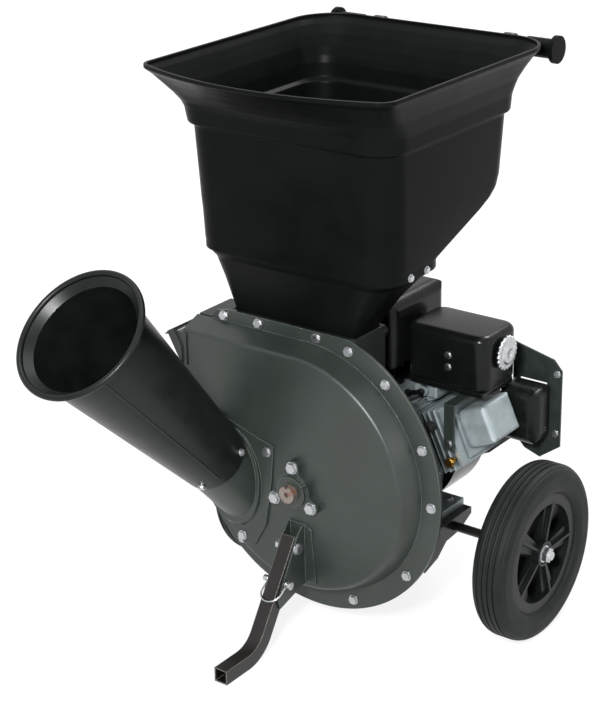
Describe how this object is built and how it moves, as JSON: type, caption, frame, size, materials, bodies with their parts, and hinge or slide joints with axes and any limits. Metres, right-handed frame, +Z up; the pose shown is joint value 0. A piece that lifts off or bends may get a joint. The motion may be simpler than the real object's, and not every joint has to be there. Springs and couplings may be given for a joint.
{
  "type": "leaf shredder",
  "caption": "Wheeled garden shredder: moulded hopper over a drawn scroll housing, slanted bell-mouthed chipper chute, side discharge hood, prop leg and a small engine driving a hammer rotor.",
  "frame": {"origin": "on the ground under the middle of the outline", "axes": "+Z up, -Y towards the chipper chute and prop leg, +X towards the engine's cylinder side"},
  "size_m": [0.6358, 0.8622, 0.971],
  "materials": {
    "housing_paint": "satin",
    "zinc": "satin",
    "chute_plastic": "gloss",
    "hopper_plastic": "satin",
    "leg_paint": "satin",
    "tyre_rubber": "matte",
    "hub_plastic": "satin",
    "cast_aluminium": "cast",
    "engine_black": "gloss",
    "engine_plastic": "gloss",
    "muffler_paint": "matte",
    "brass": "satin",
    "lead_rubber": "matte",
    "bare_steel": "worn",
    "tool_steel": "ground"
  },
  "bodies": {
    "frame": {"front_cover": "housing_paint", "discharge_hood": "housing_paint", "bearing_flange": "housing_paint", "chute_socket": "housing_paint", "stand_bracket": "housing_paint", "support_strap": "housing_paint", "case_bolts": "zinc", "bearing_bolts": "zinc", "chute_screws": "zinc", "pivot_bolt": "zinc", "lock_pin": "zinc", "throat_screws": "zinc", "axle_nuts": "zinc", "guard_nuts": "zinc", "engine_screws": "zinc", "engine_bolts": "zinc", "chipper_chute": "chute_plastic", "hopper": "hopper_plastic", "hopper_throat": "hopper_plastic", "handle_caps": "hopper_plastic", "starter_grip": "hopper_plastic", "stand_leg": "leg_paint", "handle_tube": "leg_paint", "handle_brackets": "leg_paint", "base_frame": "leg_paint", "axle": "leg_paint", "housing_back": "leg_paint", "crankcase": "cast_aluminium", "cylinder_barrel": "cast_aluminium", "cylinder_head": "cast_aluminium", "rocker_cover": "cast_aluminium", "carburettor": "cast_aluminium", "blower_housing": "engine_black", "recoil_cover": "engine_black", "air_cleaner_base": "engine_black", "muffler_guard": "engine_black", "oil_tube": "engine_black", "fuel_tank": "engine_plastic", "air_cleaner_cover": "engine_plastic", "muffler": "muffler_paint", "brass_plug": "brass", "plug_lead": "lead_rubber"},
    "rotor": {"drive_shaft": "bare_steel", "rotor_disc": "bare_steel", "chipper_knives": "tool_steel", "rear_plate": "bare_steel", "hammer_pins": "bare_steel"},
    "hammer_a": {"hammers_a": "bare_steel"},
    "hammer_b": {"hammers_b": "bare_steel"},
    "hammer_c": {"hammers_c": "bare_steel"},
    "hammer_d": {"hammers_d": "bare_steel"},
    "wheel_right": {"tyre_right": "tyre_rubber", "hub_right": "hub_plastic"},
    "wheel_left": {"tyre_left": "tyre_rubber", "hub_left": "hub_plastic"},
    "knob": {"air_cleaner_knob": "zinc"},
    "tank_cap": {"fuel_cap": "engine_plastic"},
    "oil_cap": {"dipstick_cap": "engine_plastic"},
    "throttle": {"throttle_lever": "engine_black"},
    "bail": {"pin_bail": "zinc"}
  },
  "joints": [
    {"name": "rotor_spin", "type": "hinge", "parent": "frame", "child": "rotor", "pos_m": [-0.04508, 0.02012, 0.265], "axis": [0, 1, 0], "continuous": true},
    {"name": "hammer_a_swing", "type": "hinge", "parent": "rotor", "child": "hammer_a", "pos_m": [0.03836, 0.04012, 0.34844], "axis": [0, 1, 0], "continuous": true},
    {"name": "hammer_b_swing", "type": "hinge", "parent": "rotor", "child": "hammer_b", "pos_m": [-0.12852, 0.04012, 0.34844], "axis": [0, 1, 0], "continuous": true},
    {"name": "hammer_c_swing", "type": "hinge", "parent": "rotor", "child": "hammer_c", "pos_m": [-0.12852, 0.04012, 0.18156], "axis": [0, 1, 0], "continuous": true},
    {"name": "hammer_d_swing", "type": "hinge", "parent": "rotor", "child": "hammer_d", "pos_m": [0.03836, 0.04012, 0.18156], "axis": [0, 1, 0], "continuous": true},
    {"name": "wheel_right_roll", "type": "hinge", "parent": "frame", "child": "wheel_right", "pos_m": [0.27892, 0.20012, 0.1524], "axis": [1, 0, 0], "continuous": true},
    {"name": "wheel_left_roll", "type": "hinge", "parent": "frame", "child": "wheel_left", "pos_m": [-0.26108, 0.20012, 0.1524], "axis": [1, 0, 0], "continuous": true},
    {"name": "knob_turn", "type": "hinge", "parent": "frame", "child": "knob", "pos_m": [0.19892, 0.22412, 0.484], "axis": [1, 0, 0], "range_deg": [0, 330]},
    {"name": "tank_cap_turn", "type": "hinge", "parent": "frame", "child": "tank_cap", "pos_m": [-0.10008, 0.23012, 0.557], "axis": [0, 0, 1], "range_deg": [0, 90]},
    {"name": "oil_cap_turn", "type": "hinge", "parent": "frame", "child": "oil_cap", "pos_m": [0.01992, 0.12812, 0.508], "axis": [0.2557, -0.0426, 0.9658], "range_deg": [0, 180]},
    {"name": "throttle_swing", "type": "hinge", "parent": "frame", "child": "throttle", "pos_m": [0.07192, 0.17012, 0.399], "axis": [0, 1, 0], "range_deg": [-25, 25]},
    {"name": "bail_swing", "type": "hinge", "parent": "frame", "child": "bail", "pos_m": [-0.04508, -0.0778, 0.116], "axis": [-1, 0, 0], "range_deg": [0, 110]}
  ]
}
